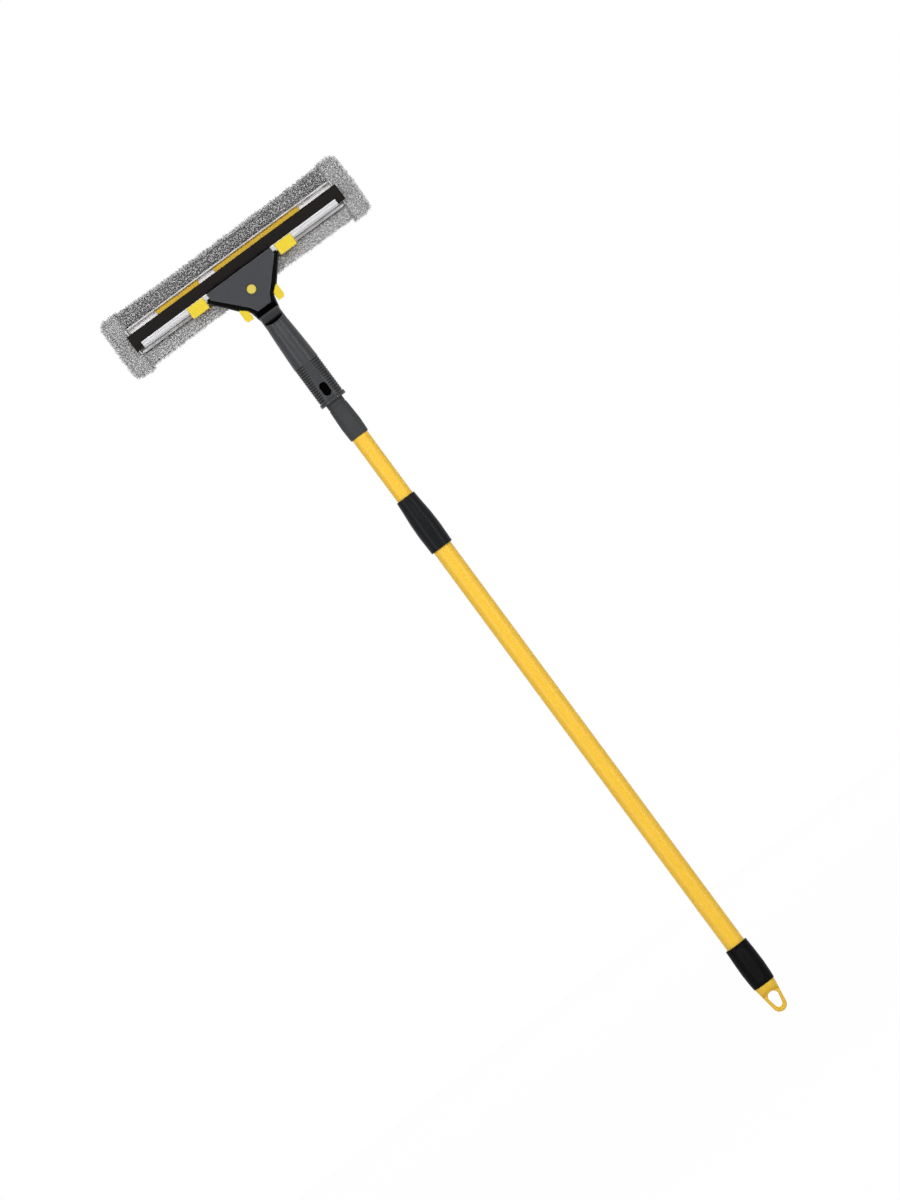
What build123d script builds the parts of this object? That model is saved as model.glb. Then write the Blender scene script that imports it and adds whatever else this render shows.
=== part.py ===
from build123d import *
import os
from math import atan, cos, degrees, radians, sin

os.makedirs("parts", exist_ok=True)

# Window scrubber on a two-stage pole, in millimetres.
# The pole runs along Z with the head on top, the head runs along X, and its front faces -Y.
# The origin is on the pole axis, in the middle of the bare outer tube.
# Head, handle and pole tip are drawn about the swivel pivot and lifted to its height.

# Clearances
seat = 0.02
run = 0.05
slip = 0.3
overrun = 1.0

# Outlines of the turned pieces, down from the top, as shares of (length, widest radius)
collar_shares = [(0, 0.82), (0.17, 0.87), (0.29, 0.92), (0.42, 0.968), (0.65, 1), (1, 0.95)]
sleeve_shares = [(0, 0.935), (0.35, 0.985), (0.6, 1), (0.85, 0.965), (1, 0.916)]
flare_shares = [(0, 0.911), (0.3, 0.962), (0.6, 1), (0.95, 0.955), (1, 0.9)]
grip_shares = [(0, 0.788), (0.015, 0.835), (0.22, 0.835), (0.38, 0.88), (0.58, 0.928), (0.8, 0.972), (1, 1)]

# Lengths down the pole, from the swivel pivot to the end of the hanging loop
handle_length = 168.0
tip_show = 53.0
inner_show = 93.0
collar_length = 75.0
outer_show = 600.0
end_sleeve_length = 58.0
loop_show = 40.0

collar_bottom_z = outer_show / 2
collar_top_z = collar_bottom_z + collar_length
tip_bottom_z = collar_top_z + inner_show
pivot_z = tip_bottom_z + tip_show + handle_length
sleeve_top_z = -outer_show / 2
sleeve_bottom_z = sleeve_top_z - end_sleeve_length
loop_bottom_z = sleeve_bottom_z - loop_show

# Tubes
outer_radius = 12.5
outer_wall = 1.2
inner_wall = 1.0
stow_gap = 32.0
outer_bore = outer_radius - outer_wall
inner_radius = outer_bore - slip
inner_bore = inner_radius - inner_wall

# Collar
collar_radius = 15.75
collar_lip = 12.0
outer_top_z = collar_top_z - collar_lip

# End sleeve and hanging loop
sleeve_radius = 16.05
stem_length = 30.0
loop_top_radius = 13.9
loop_end_radius = 9.2
loop_half_thickness = 4.6
loop_blend = 13.0
loop_edge = 1.4
eye_radius = 7.0
eye_foot_radius = 4.6
eye_drop = 19.0
eye_foot_drop = 29.6

# Twist lock inside the outer tube
plug_length = 22.0
flange_thickness = 3.0
stud_radius = 4.0
stud_length = 28.0
jacket_length = 20.0
jacket_neck = 8.0
wedge_small = 5.2
wedge_large = 6.4
wedge_length = 14.0
wedge_sides = 8
slit_width = 1.6
fin_reach = 2.2

# Layers of the head from front to back, measured from the middle of the tongue
tongue_half = 4.2
liner_thickness = 1.2
plate_thickness = 4.0
jaw_thickness = 5.5
gap_half = tongue_half + slip
liner_front_y = -gap_half - liner_thickness
plate_front_y = liner_front_y - plate_thickness
jaw_back_y = gap_half + jaw_thickness

# Front plate
plate_half = 47.8
plate_top = 27.4
plate_shoulder = 18.2
plate_waist_half = 15.0
plate_waist = 17.0
plate_foot_half = 9.5
plate_foot = 26.4
plate_corner = 1.5
plate_bevel = 1.2

# Liner behind the front plate
liner_top = 29.4
liner_step = 21.2
liner_half = 52.0
liner_wing = 17.5
liner_hip_half = 26.5
liner_hip = 12.6
liner_waist_half = 18.6
liner_waist = 19.1
liner_foot_half = 12.5
liner_foot = 27.5
tooth_width = 7.0
tooth_rise = 1.0
tooth_pitch = 32.4

# Rear jaw
jaw_half = 53.0
jaw_top = 28.6
jaw_wing = 17.0
jaw_hip_half = 27.8
jaw_hip = 13.2
jaw_waist_half = 20.0
jaw_waist = 20.0
jaw_foot_half = 11.0
jaw_foot = 27.0
jaw_corner = 2.0
jaw_lightening = 1.6
jaw_pocket_x = 17.0
jaw_pocket_z = 17.0
jaw_pocket_width = 12.0
jaw_pocket_height = 15.0
post_radius = 4.5
post_pitch = 60.0
post_height = 23.8

# Swivel pivot, brake drum and cap
pin_radius = 3.0
pin_head_radius = 4.6
pin_head = 1.0
nut_flats = 8.0
nut_thickness = 2.8
nut_pocket_radius = 5.4
cap_radius = 5.85
cap_gap = 0.7
cap_recess = 2.6
cap_proud = 0.3
cap_round = 0.9
drum_radius = 9.0
tongue_web = 3.1
drum_back_y = tongue_half - tongue_web - slip

# Blade and its channel
channel_bottom = 19.5
channel_top = 28.3
channel_half = 146.0
channel_round = 0.6
bead_radius = 2.5
bead_height = 23.6
web_half = 1.1
lip_half = 1.5
blade_top = 43.0
blade_half = 157.0
groove_height = 22.7
groove_width = 1.4
groove_depth = 0.8
line_height = 26.0
line_width = 0.7
line_depth = 0.35

# Clips on the channel
clip_gap = 0.2
clip_wall = 2.3
clip_web = 2.2
clip_width = 24.0
clip_bottom = 12.0
clip_top = 27.6
clip_centre = 65.8
clip_corner = 1.8
clip_round = 0.7
clip_rib = 0.9
clip_rib_reach = 0.5

# Carrier plate and its strips
post_length = 8.5
carrier_thickness = 1.5
carrier_low = 1.0
carrier_high = 70.5
carrier_corner = 6.0
carrier_front_y = jaw_back_y + post_length
carrier_back_y = carrier_front_y + carrier_thickness
strip_thickness = 3.0
strip_low = 32.0
strip_high = 51.2
strip_round = 0.9
left_strip_start = -109.7
left_strip_end = -46.8
right_strip_start = -23.0
right_strip_end = 104.2

# Washing sleeve
pad_front_y = 10.8
pad_edge_y = 33.0
pad_back_y = 38.0
pad_low = -3.0
pad_high = 74.4
pad_round = 7.0
window_low = 17.0
window_high = 51.6
window_round = 2.5
wrap_half = 152.0
seam_gap = 0.3
pocket_length = 24.2
pocket_wall = 8.5
pocket_end = wrap_half + seam_gap + pocket_length
carrier_half = pocket_end - pocket_wall
pocket_round = 9.0
pocket_swell = 0.7
pocket_drop = 4.0
pocket_rise = 2.1

# Handle
neck_top = 34.0
neck_radius = 14.2
mouth_band = 5.6
grip_end = handle_length - mouth_band
grip_radius = 17.0
lip_radius = 17.8
lip_edge = 0.8
scoop_face_y = 7.9
scoop_dip_y = 7.2
scoop_dip = 41.0
scoop_foot_y = 8.4
scoop_foot = 46.6
ledge_y = 15.5
ledge = 50.6
rib_count = 15
rib_pitch = 3.4
rib_width = 1.3
rib_sides = 20
rib_crest = 16.6
rib_floor = 15.95
rib_start = grip_end - rib_count * rib_pitch
front_panel_top_half = 5.1
front_panel_end_half = 8.2
window_rise = 17.3
window_drop = handle_length - window_rise
button_window_width = 10.4
button_window_height = 18.2
window_rim = 1.1
window_rim_y = 17.2
spine_half = 13.0
tongue_radius = 18.4
shoulder_start = 19.5
shoulder_mid = 28.0
shoulder_mid_half = 16.6
shoulder_end = 38.5
tongue_root = 45.0
core_top = 13.5
core_top_half = 8.0
core_hip = 21.5
core_hip_half = 15.5
core_waist = 27.0
core_waist_half = 14.6
core_foot_half = 12.4

# Squeeze levers, their pins and spring
lever_pin_radius = 1.5
lever_pin_x = 13.2
lever_pin_z = -6.5
lever_pin_inset = 0.2
shoe_outer = 16.3
shoe_high_angle = 30.0
shoe_low_angle = -14.0
lever_back_y = drum_back_y
lever_elbow_x = 17.0
lever_elbow_z = -4.5
ear_outer = 28.8
ear_inner = 18.6
ear_top_z = -13.0
ear_foot_z = -30.3
ear_round = 4.5
heel_x = 10.2
heel_z = -8.2
knee_x = 12.2
knee_z = -11.0
lever_edge = 0.6
bow_thickness = 0.8
bow_front_y = -3.2
bow_angle = 6.0

# Pole tip
spigot_radius = 11.8
spigot_bore = 8.8
spigot_length = 68.0
tip_ring = 7.0
tip_groove_width = 1.0
tip_groove_depth = 0.5
tip_radius = 13.45
tip_wall = 4.0

# Catch in the pole tip
button_gap = 0.1
button_width = 9.6
button_height = 17.4
button_face_radius = 12.9
button_foot_y = -6.2
button_flange = 1.4
button_flange_width = 12.0
button_flange_height = 21.0
leaf_thickness = 0.8
leaf_half_width = 3.5
leaf_rise = 10.0
leaf_drop = 10.5
leaf_back_y = 7.8


def bar(radius, low, high):
    """A round bar along the pole axis."""
    return Pos(0, 0, low) * extrude(Circle(radius), high - low)


def tube(outer, inner, low, high):
    """A round tube along the pole axis."""
    return bar(outer, low, high) - bar(inner, low - overrun, high + overrun)


def turned(points):
    """A solid turned about the pole axis, from its closed outline of (radius, height)."""
    lines = []
    for start, end in zip(points, points[1:] + points[:1]):
        sloping = start[0] != end[0] and start[1] != end[1]
        lines.append(Bezier(start, end) if sloping else Line(start, end))
    return revolve(make_face([Plane.XZ * line for line in lines]), Axis.Z)


def slab(outline, front, back):
    """An outline of (x, height) as a plate that lies between two depths."""
    face = Plane.XZ.offset(-back) * outline
    return extrude(face, back - front, dir=(0, -1, 0))


def peg(radius, x, height, front, back):
    """A round peg from front to back."""
    return slab(Pos(x, height) * Circle(radius), front, back)


def rail(section, start, end):
    """A section of (depth, height) drawn out along the head."""
    return extrude(Plane.YZ.offset(start) * section, end - start, dir=(1, 0, 0))


def block(depth_low, depth_high, low, high):
    """A rectangle of a rail's section."""
    size = (depth_high - depth_low, high - low)
    return Pos((depth_low + depth_high) / 2, (low + high) / 2) * Rectangle(*size)


def mirrored(points):
    """An outline that is the same on both sides, from its right half."""
    return Polygon(*points, *[(-x, z) for x, z in reversed(points)])


def outline_of(shares, top, length, radius):
    """Points of (radius, height) down a turned piece, from its outline's shares."""
    return [(radius * wide, top - length * down) for down, wide in shares]


def polar(radius, degrees):
    return radius * cos(radians(degrees)), radius * sin(radians(degrees))


def save(shape, node, lift=0):
    export_step(Pos(0, 0, lift) * shape, f"parts/{node}.step")


# Tubes and their fittings
def outer_tube():
    return tube(outer_radius, outer_bore, sleeve_bottom_z, outer_top_z)


def inner_tube(low, high):
    return tube(inner_radius, inner_bore, low, high)


def collar():
    top, bottom = collar_top_z, collar_bottom_z
    side = outline_of(collar_shares, top, collar_length, collar_radius)
    body = turned([(0, top), *side, (0, bottom)])
    body -= bar(outer_radius + seat, bottom - overrun, outer_top_z)
    return body - bar(inner_radius + run, bottom, top + overrun)


def end_sleeve():
    top, bottom = sleeve_top_z, sleeve_bottom_z
    side = outline_of(sleeve_shares, top, end_sleeve_length, sleeve_radius)
    body = turned([(0, top), *side, (0, bottom)])
    return body - bar(outer_radius + seat, bottom - overrun, top + overrun)


def hanging_loop():
    top = sleeve_bottom_z
    end_centre = loop_bottom_z + loop_end_radius
    outline = make_hull(
        [
            Line((-loop_top_radius, top), (loop_top_radius, top)),
            *(Pos(0, end_centre) * Circle(loop_end_radius)).edges(),
        ]
    )
    blend_z = top - loop_blend
    side = make_face(
        [
            Polyline(
                (-loop_half_thickness, blend_z),
                (-loop_half_thickness, loop_bottom_z),
                (loop_half_thickness, loop_bottom_z),
                (loop_half_thickness, blend_z),
            ),
            RadiusArc((loop_half_thickness, blend_z), (loop_top_radius, top), -loop_blend),
            Line((loop_top_radius, top), (-loop_top_radius, top)),
            RadiusArc((-loop_top_radius, top), (-loop_half_thickness, blend_z), -loop_blend),
        ]
    )
    tab = slab(outline, -loop_top_radius, loop_top_radius)
    tab &= rail(side, -loop_top_radius, loop_top_radius)
    tab &= bar(loop_top_radius, loop_bottom_z, top)
    eye = make_hull(
        [
            *(Pos(0, top - eye_drop) * Circle(eye_radius)).edges(),
            *(Pos(0, top - eye_foot_drop) * Circle(eye_foot_radius)).edges(),
        ]
    )
    tab -= slab(eye, -loop_top_radius, loop_top_radius)
    rims = tab.faces().filter_by(Axis.Y).edges()
    tab = chamfer([rim for rim in rims if rim.center().Z < blend_z - slip], loop_edge)
    return tab + bar(outer_bore - seat, top, top + stem_length)


# Twist lock
def expander_stud(low):
    flange_low = low - flange_thickness
    stud = bar(inner_bore - seat, low, low + plug_length)
    stud += bar(inner_radius, flange_low, low)
    return stud + bar(stud_radius, flange_low - stud_length, flange_low)


def wedge_of(gap, top, extra):
    """The faceted wedge, grown by a gap and drawn out beyond its large end."""
    slope = (wedge_large - wedge_small) / wedge_length
    length = wedge_length + extra
    large = wedge_large + gap + slope * extra
    foot = Pos(0, 0, top - length) * RegularPolygon(large, wedge_sides, major_radius=False)
    return extrude(foot, length, taper=degrees(atan(slope)))


def jacket_top(low):
    return low - flange_thickness - slip


def expander_sleeve(low):
    top = jacket_top(low)
    wedge_top = top - jacket_neck
    body = bar(outer_bore - run, top - jacket_length, top)
    body -= bar(stud_radius + slip, wedge_top - overrun, top + overrun)
    body -= wedge_of(run, wedge_top, overrun)
    depth = jacket_length - jacket_neck + overrun
    slit = Box(outer_bore, slit_width, depth)
    return body - Pos(outer_bore / 2, 0, wedge_top - depth / 2) * slit


def expander_cone(low):
    top = jacket_top(low) - jacket_neck
    body = wedge_of(0, top, 0)
    fin_end = wedge_large + fin_reach / 2
    fin_size = (fin_end - stud_radius, slit_width - 2 * run, wedge_length)
    body += Pos((fin_end + stud_radius) / 2, 0, top - wedge_length / 2) * Box(*fin_size)
    return body - bar(stud_radius + run, top - wedge_length - overrun, top + overrun)


# Jaw
def jaw_hole(radius):
    return peg(radius, 0, 0, plate_front_y - overrun, jaw_back_y + overrun)


def front_plate():
    outline = mirrored(
        [
            (plate_half, plate_top),
            (plate_half, plate_shoulder),
            (plate_waist_half, -plate_waist),
            (plate_foot_half, -plate_foot),
        ]
    )
    outline = fillet(outline.vertices(), plate_corner)
    plate = slab(outline, plate_front_y, liner_front_y)
    plate = chamfer(plate.faces().sort_by(Axis.Y)[0].edges(), plate_bevel)
    plate += peg(drum_radius, 0, 0, liner_front_y, drum_back_y)
    recess_floor = plate_front_y + cap_recess
    plate -= peg(cap_radius + cap_gap, 0, 0, plate_front_y - overrun, recess_floor)
    return plate - jaw_hole(pin_radius + seat)


def front_liner():
    outline = mirrored(
        [
            (plate_half, liner_top),
            (plate_half, liner_step),
            (liner_half, liner_step),
            (liner_half, liner_wing),
            (liner_hip_half, -liner_hip),
            (liner_waist_half, -liner_waist),
            (liner_foot_half, -liner_foot),
        ]
    )
    liner = slab(outline, liner_front_y, -gap_half)
    for index in (-1, 0, 1):
        tooth = Pos(index * tooth_pitch, liner_top) * Rectangle(tooth_width, 2 * tooth_rise)
        liner += slab(tooth, liner_front_y, -gap_half)
    return liner - jaw_hole(drum_radius + seat)


def rear_jaw():
    half = [
        (jaw_half, jaw_top),
        (jaw_half, jaw_wing),
        (jaw_hip_half, -jaw_hip),
        (jaw_waist_half, -jaw_waist),
        (jaw_foot_half, -jaw_foot),
    ]
    outline = fillet(mirrored(half).vertices(), jaw_corner)
    jaw = slab(outline, gap_half, jaw_back_y)
    for side in (-1, 1):
        pocket = Pos(side * jaw_pocket_x, jaw_pocket_z) * Rectangle(jaw_pocket_width, jaw_pocket_height)
        jaw -= slab(pocket, jaw_back_y - jaw_lightening, jaw_back_y + overrun)
    for side in (-1, 1):
        jaw += peg(post_radius, side * post_pitch / 2, post_height, gap_half, carrier_front_y)
    pocket_floor = jaw_back_y - nut_thickness
    jaw -= peg(nut_pocket_radius, 0, 0, pocket_floor, jaw_back_y + overrun)
    return jaw - jaw_hole(pin_radius + seat)


# Pivot fastening
def pivot_pin():
    head_back = plate_front_y + cap_recess
    pin = peg(pin_radius, 0, 0, head_back, jaw_back_y)
    return pin + peg(pin_head_radius, 0, 0, head_back - pin_head, head_back)


def pivot_nut():
    hexagon = RegularPolygon(nut_flats / 2, 6, major_radius=False)
    return slab(hexagon - Circle(pin_radius + seat), jaw_back_y - nut_thickness, jaw_back_y)


def pivot_cap():
    cap = peg(cap_radius, 0, 0, plate_front_y - cap_proud, plate_front_y + cap_recess - pin_head)
    return chamfer(cap.faces().sort_by(Axis.Y)[0].edges(), cap_round)


# Blade and channel
def blade_channel():
    section = block(-gap_half, gap_half, channel_bottom, channel_top)
    tops = section.vertices().group_by(Axis.Y)[-1]
    section = fillet(tops, channel_round)
    section -= Pos(0, bead_height) * Circle(bead_radius + seat)
    section -= block(-web_half - seat, web_half + seat, bead_height, channel_top + overrun)
    for side in (-1, 1):
        face = side * gap_half
        groove = Rectangle(2 * groove_depth, groove_width)
        section -= Pos(face, groove_height) * groove
        section -= Pos(face, line_height) * Rectangle(2 * line_depth, line_width)
    return rail(section, -channel_half, channel_half)


def squeegee_blade():
    section = Pos(0, bead_height) * Circle(bead_radius)
    section += block(-web_half, web_half, bead_height, channel_top + line_width)
    section += block(-lip_half, lip_half, channel_top + seat, blade_top)
    return rail(section, -blade_half, blade_half)


def clip(side):
    start = side * clip_centre - clip_width / 2
    end = start + clip_width
    inner = gap_half + clip_gap
    web_top = channel_bottom - clip_gap
    web_low = web_top - clip_web
    section = block(-inner - clip_wall, inner + clip_wall, web_low, clip_top)
    section -= block(-inner, inner, web_top, clip_top + overrun)
    for face in (-1, 1):
        rib_depth = clip_gap + clip_rib_reach
        rib_centre = face * (inner - rib_depth / 2)
        section += Pos(rib_centre, groove_height) * Rectangle(rib_depth, clip_rib)
    body = rail(section, start, end)
    apron = block(-inner - clip_wall, -inner, clip_bottom, web_top)
    body += rail(apron, start, end)
    feet = body.edges().filter_by(Axis.Y).group_by(Axis.Z)[0]
    body = fillet(feet, clip_corner)
    return chamfer(body.faces().sort_by(Axis.Y)[0].edges(), clip_round)


# Carrier and strips
def carrier_plate():
    size = (2 * carrier_half, carrier_high - carrier_low)
    outline = Pos(0, (carrier_high + carrier_low) / 2) * RectangleRounded(*size, carrier_corner)
    return slab(outline, carrier_front_y, carrier_back_y)


def strip(start, end):
    section = block(carrier_front_y - strip_thickness, carrier_front_y, strip_low, strip_high)
    body = rail(section, start, end)
    return chamfer(body.faces().sort_by(Axis.Y)[0].edges(), strip_round)


# Washing sleeve
def pad_section(drop, rise, swell):
    """Crowned outer shape of the sleeve, as a closed section."""
    low, high = pad_low - drop, pad_high + rise
    front, back, edge = pad_front_y - swell, pad_back_y + swell, pad_edge_y + swell
    middle = (front + edge) / 2
    front_low, front_high = (front, low + pad_round), (front, high - pad_round)
    back_low, back_high = (edge, low + pad_round), (edge, high - pad_round)
    return make_face(
        [
            Line(front_low, front_high),
            ThreePointArc(front_high, (middle, high), back_high),
            ThreePointArc(back_high, (back, (low + high) / 2), back_low),
            ThreePointArc(back_low, (middle, low), front_low),
        ]
    )


def carrier_slot():
    depth = (carrier_front_y - slip, carrier_back_y + slip)
    return block(*depth, carrier_low - slip, carrier_high + slip)


def pad_wrap():
    section = pad_section(0, 0, 0)
    window = block(pad_front_y - overrun, carrier_front_y - slip, window_low, window_high)
    section -= window
    lips = [
        corner
        for corner in section.vertices()
        if abs(corner.X - pad_front_y) < slip and window_low - slip < corner.Y < window_high + slip
    ]
    section = fillet(lips, window_round)
    section -= carrier_slot()
    return rail(section, -wrap_half, wrap_half)


def round_ended(start, end, low, high):
    """A rectangle with both corners of its far end rounded."""
    outline = Polygon((start, low), (end, low), (end, high), (start, high))
    return fillet(outline.vertices().group_by(Axis.X)[-1], pocket_round)


def pad_pocket(side):
    section = pad_section(pocket_drop, pocket_rise, pocket_swell)
    start = wrap_half + seam_gap
    low, high = pad_low - pocket_drop, pad_high + pocket_rise
    front, back = pad_front_y - pocket_swell, pad_back_y + pocket_swell
    body = rail(section, start, pocket_end)
    body &= slab(round_ended(start, pocket_end, low, high), front, back)
    body &= Pos(0, 0, low) * extrude(round_ended(start, pocket_end, front, back), high - low)
    body -= rail(carrier_slot(), start - overrun, carrier_half + slip)
    return body if side > 0 else mirror(body, about=Plane.YZ)


# Handle
def handle_grip():
    side = outline_of(grip_shares, -neck_top, rib_start - neck_top, grip_radius)
    lip = [(lip_radius, -grip_end - lip_edge), (lip_radius, -handle_length), (0, -handle_length)]
    body = turned([(0, -neck_top), *side, (grip_radius, -grip_end), *lip])
    return body - grip_scoop() - grip_ribs()


def grip_scoop():
    """Hollowed flat in front of the neck that ends at a sloping ledge."""
    outside = -ledge_y - overrun
    section = make_face(
        [
            Polyline((-scoop_face_y, -neck_top + overrun), (-scoop_face_y, -neck_top)),
            ThreePointArc(
                (-scoop_face_y, -neck_top), (-scoop_dip_y, -scoop_dip), (-scoop_foot_y, -scoop_foot)
            ),
            Polyline(
                (-scoop_foot_y, -scoop_foot),
                (-ledge_y, -ledge),
                (outside, -ledge),
                (outside, -neck_top + overrun),
                (-scoop_face_y, -neck_top + overrun),
            ),
        ]
    )
    return rail(section, -grip_radius, grip_radius)


def facet_ring(apothem, top, low):
    """What a many-sided bar of that apothem cuts off the round grip between two heights."""
    outside = Circle(lip_radius + overrun)
    facets = RegularPolygon(apothem, rib_sides, major_radius=False)
    return Pos(0, 0, low) * extrude(outside - facets, top - low)


def grip_ribs():
    """Faceted ribs round the grip, which leave a smooth panel in front and a spine behind."""
    ring = facet_ring(rib_crest, -rib_start, -grip_end)
    for index in range(rib_count):
        top = -rib_start - rib_pitch * index - (rib_pitch - rib_width) / 2
        ring += facet_ring(rib_floor, top, top - rib_width)
    panel = Polygon(
        (-front_panel_top_half, -rib_start + overrun),
        (-front_panel_end_half, -grip_end - overrun),
        (front_panel_end_half, -grip_end - overrun),
        (front_panel_top_half, -rib_start + overrun),
    )
    outside = lip_radius + 2 * overrun
    spine = Rectangle(2 * spine_half, 2 * handle_length)
    return ring - slab(panel, -outside, 0) - slab(spine, 0, outside)


def tongue():
    right = ThreePointArc(
        (tongue_radius, -shoulder_start),
        (shoulder_mid_half, -shoulder_mid),
        (neck_radius, -shoulder_end),
    )
    left = ThreePointArc(
        (-neck_radius, -shoulder_end),
        (-shoulder_mid_half, -shoulder_mid),
        (-tongue_radius, -shoulder_start),
    )
    outline = make_face(
        [
            ThreePointArc((-tongue_radius, 0), (0, tongue_radius), (tongue_radius, 0)),
            Line((tongue_radius, 0), (tongue_radius, -shoulder_start)),
            right,
            Polyline(
                (neck_radius, -shoulder_end),
                (core_foot_half, -tongue_root),
                (-core_foot_half, -tongue_root),
                (-neck_radius, -shoulder_end),
            ),
            left,
            Line((-tongue_radius, -shoulder_start), (-tongue_radius, 0)),
        ]
    )
    core = mirrored(
        [
            (core_top_half, -core_top),
            (core_hip_half, -core_hip),
            (core_waist_half, -core_waist),
            (core_foot_half, -tongue_root),
        ]
    )
    web = slab(outline, tongue_half - tongue_web, tongue_half)
    return web + slab(core, -tongue_half, tongue_half)


def handle():
    body = handle_grip() + tongue()
    rim_size = (button_window_height + 2 * window_rim, button_window_width + 2 * window_rim)
    rim = Pos(0, -window_drop) * SlotOverall(*rim_size, rotation=90)
    body += slab(rim, -window_rim_y, -spigot_radius - overrun)
    oval = SlotOverall(button_window_height, button_window_width, rotation=90)
    body -= slab(Pos(0, -window_drop) * oval, -lip_radius - overrun, 0)
    socket_top = spigot_length - handle_length
    body -= bar(spigot_radius + seat, -handle_length - overrun, socket_top)
    body -= peg(pin_radius + run, 0, 0, -tongue_half - overrun, tongue_half + overrun)
    for side in (-1, 1):
        back = tongue_half + overrun
        body -= peg(lever_pin_radius + seat, side * lever_pin_x, lever_pin_z, 0, back)
    return body


# Levers
def lever(side):
    shoe_inner = drum_radius + slip
    middle_angle = (shoe_high_angle + shoe_low_angle) / 2
    outline = make_face(
        [
            ThreePointArc(
                polar(shoe_inner, shoe_low_angle),
                polar(shoe_inner, middle_angle),
                polar(shoe_inner, shoe_high_angle),
            ),
            Line(polar(shoe_inner, shoe_high_angle), polar(shoe_outer, shoe_high_angle)),
            ThreePointArc(
                polar(shoe_outer, shoe_high_angle),
                polar(shoe_outer, shoe_high_angle / 2),
                polar(shoe_outer, 0),
            ),
            Polyline(
                polar(shoe_outer, 0),
                (lever_elbow_x, lever_elbow_z),
                (ear_outer, ear_top_z),
                (ear_outer, ear_foot_z),
                (ear_inner, ear_foot_z),
                (ear_inner, -liner_waist),
                (knee_x, knee_z),
                (heel_x, heel_z),
                polar(shoe_inner, shoe_low_angle),
            ),
        ]
    )
    outline = fillet(outline.vertices().group_by(Axis.X)[-1], ear_round)
    body = slab(outline, -tongue_half, lever_back_y)
    body -= peg(lever_pin_radius + run, lever_pin_x, lever_pin_z, -gap_half, gap_half)
    front = body.faces().sort_by(Axis.Y)[0]
    body = chamfer(front.outer_wire().edges(), lever_edge)
    return body if side > 0 else mirror(body, about=Plane.YZ)


def lever_pins():
    ends = (lever_pin_inset - tongue_half, tongue_half - lever_pin_inset)
    pins = [peg(lever_pin_radius, s * lever_pin_x, lever_pin_z, *ends) for s in (-1, 1)]
    return Compound(children=pins)


def lever_spring():
    inner = shoe_outer + slip
    outer = inner + bow_thickness
    outline = make_face(
        [
            ThreePointArc(polar(inner, bow_angle), (0, inner), polar(inner, 180 - bow_angle)),
            Line(polar(inner, 180 - bow_angle), polar(outer, 180 - bow_angle)),
            ThreePointArc(polar(outer, 180 - bow_angle), (0, outer), polar(outer, bow_angle)),
            Line(polar(outer, bow_angle), polar(inner, bow_angle)),
        ]
    )
    return slab(outline, bow_front_y, lever_back_y)


# Pole tip with its catch
def pole_tip():
    shoulder = -handle_length - tip_ring
    flare_top = shoulder - tip_groove_width
    low = -handle_length - tip_show
    side = outline_of(flare_shares, flare_top, flare_top - low, tip_radius)
    body = turned([(0, flare_top), *side, (0, low)])
    body += bar(spigot_radius - tip_groove_depth, flare_top, shoulder)
    body += bar(spigot_radius, shoulder, spigot_length - handle_length - seat)
    stop = tip_stop()
    body -= bar(inner_radius + seat, low - overrun, stop)
    body -= bar(spigot_bore, stop + tip_wall, spigot_length - handle_length + overrun)
    size = (button_height + 2 * button_gap, button_width + 2 * button_gap)
    return body - slab(Pos(0, -window_drop) * SlotOverall(*size, rotation=90), -lip_radius, 0)


def tip_stop():
    """Height of the step in the tip that the inner tube meets."""
    return -handle_length - tip_ring - tip_groove_width


def snap_button():
    oval = Pos(0, -window_drop) * SlotOverall(button_height, button_width, rotation=90)
    body = slab(oval, -lip_radius, button_foot_y)
    body &= bar(button_face_radius, -window_drop - button_height, button_height - window_drop)
    flange = Pos(0, -window_drop) * Rectangle(button_flange_width, button_flange_height)
    return body + slab(flange, button_foot_y, button_foot_y + button_flange)


def snap_spring():
    front = button_foot_y + button_flange + slip
    top, bend = leaf_rise - window_drop, -window_drop - leaf_drop
    middle = (front + leaf_back_y) / 2
    outer = (leaf_back_y - front) / 2
    inner = outer - leaf_thickness
    section = make_face(
        [
            ThreePointArc((front, bend), (middle, bend - outer), (leaf_back_y, bend)),
            Polyline(
                (leaf_back_y, bend),
                (leaf_back_y, top),
                (leaf_back_y - leaf_thickness, top),
                (leaf_back_y - leaf_thickness, bend),
            ),
            ThreePointArc(
                (leaf_back_y - leaf_thickness, bend),
                (middle, bend - inner),
                (front + leaf_thickness, bend),
            ),
            Polyline(
                (front + leaf_thickness, bend), (front + leaf_thickness, top), (front, top), (front, bend)
            ),
        ]
    )
    return rail(section, -leaf_half_width, leaf_half_width)


# Pole
inner_top_z = pivot_z + tip_stop()
lock_length = flange_thickness + stud_length
inner_bottom_z = sleeve_bottom_z + stem_length + stow_gap + inner_show + lock_length
save(outer_tube(), "outer_tube")
save(inner_tube(inner_bottom_z, inner_top_z), "inner_tube")
save(collar(), "collar")
save(end_sleeve(), "end_sleeve")
save(hanging_loop(), "hanging_loop")
save(expander_stud(inner_bottom_z), "expander_stud")
save(expander_sleeve(inner_bottom_z), "expander_sleeve")
save(expander_cone(inner_bottom_z), "expander_cone")

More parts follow.
